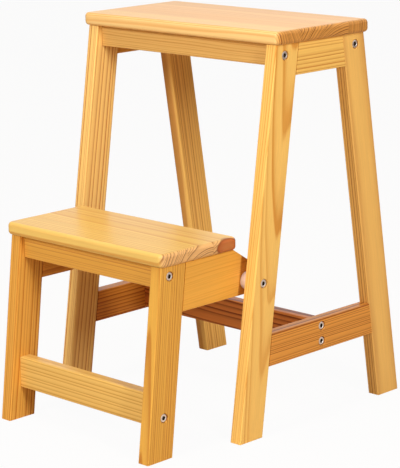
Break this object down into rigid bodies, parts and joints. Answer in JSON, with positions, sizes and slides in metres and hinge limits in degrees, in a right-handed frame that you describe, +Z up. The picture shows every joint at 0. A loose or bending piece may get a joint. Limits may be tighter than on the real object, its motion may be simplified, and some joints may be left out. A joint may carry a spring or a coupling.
{
  "type": "folding step stool",
  "caption": "Pine stool with a rectangular seat on leaning legs and a lower step that swings up on two pivot bolts and folds away inside the frame.",
  "frame": {"origin": "on the floor, under the middle of the open stool's bounding box", "axes": "+Z up from the floor, +Y from the step towards the back of the stool, +X to the right as seen by someone facing the step"},
  "size_m": [0.3442, 0.432, 0.4985],
  "materials": {
    "pine": "clear satin lacquer on planed pine, honey yellow with darker orange growth rings",
    "steel": "bright nickel plate on steel fasteners",
    "spacer": "off-white moulded nylon"
  },
  "bodies": {
    "main_frame": {"front_leg_right": "pine", "front_leg_left": "pine", "rear_leg_right": "pine", "rear_leg_left": "pine", "side_apron_right": "pine", "side_apron_left": "pine", "side_stretcher_right": "pine", "side_stretcher_left": "pine", "front_apron": "pine", "rear_apron": "pine", "cross_rail": "pine", "seat_board": "pine", "front_apron_bolt_right": "steel", "front_apron_barrel_nut_right": "steel", "front_apron_bolt_left": "steel", "front_apron_barrel_nut_left": "steel", "rear_apron_bolt_right": "steel", "rear_apron_barrel_nut_right": "steel", "rear_apron_bolt_left": "steel", "rear_apron_barrel_nut_left": "steel", "cross_rail_lower_bolt_right": "steel", "cross_rail_lower_barrel_nut_right": "steel", "cross_rail_lower_bolt_left": "steel", "cross_rail_lower_barrel_nut_left": "steel", "cross_rail_upper_bolt_right": "steel", "cross_rail_upper_barrel_nut_right": "steel", "cross_rail_upper_bolt_left": "steel", "cross_rail_upper_barrel_nut_left": "steel", "seat_screw_front_right": "steel", "seat_screw_rear_right": "steel", "seat_screw_front_left": "steel", "seat_screw_rear_left": "steel", "pivot_bolt_right": "steel", "pivot_spacer_right": "spacer", "pivot_washer_right": "steel", "pivot_nut_right": "steel", "pivot_bolt_left": "steel", "pivot_spacer_left": "spacer", "pivot_washer_left": "steel", "pivot_nut_left": "steel"},
    "lower_step": {"step_leg_right": "pine", "step_leg_left": "pine", "step_rail_right": "pine", "step_rail_left": "pine", "step_apron": "pine", "step_stretcher": "pine", "tread_board": "pine", "step_apron_bolt_right": "steel", "step_apron_barrel_nut_right": "steel", "step_apron_bolt_left": "steel", "step_apron_barrel_nut_left": "steel", "step_stretcher_bolt_right": "steel", "step_stretcher_barrel_nut_right": "steel", "step_stretcher_bolt_left": "steel", "step_stretcher_barrel_nut_left": "steel", "tread_screw_front_right": "steel", "tread_screw_rear_right": "steel", "tread_screw_front_left": "steel", "tread_screw_rear_left": "steel"}
  },
  "joints": [
    {"name": "step_fold", "type": "hinge", "parent": "main_frame", "child": "lower_step", "pos_m": [0, -0.04301, 0.1945], "axis": [-1, 0, 0], "range_deg": [0, 184.1]}
  ]
}
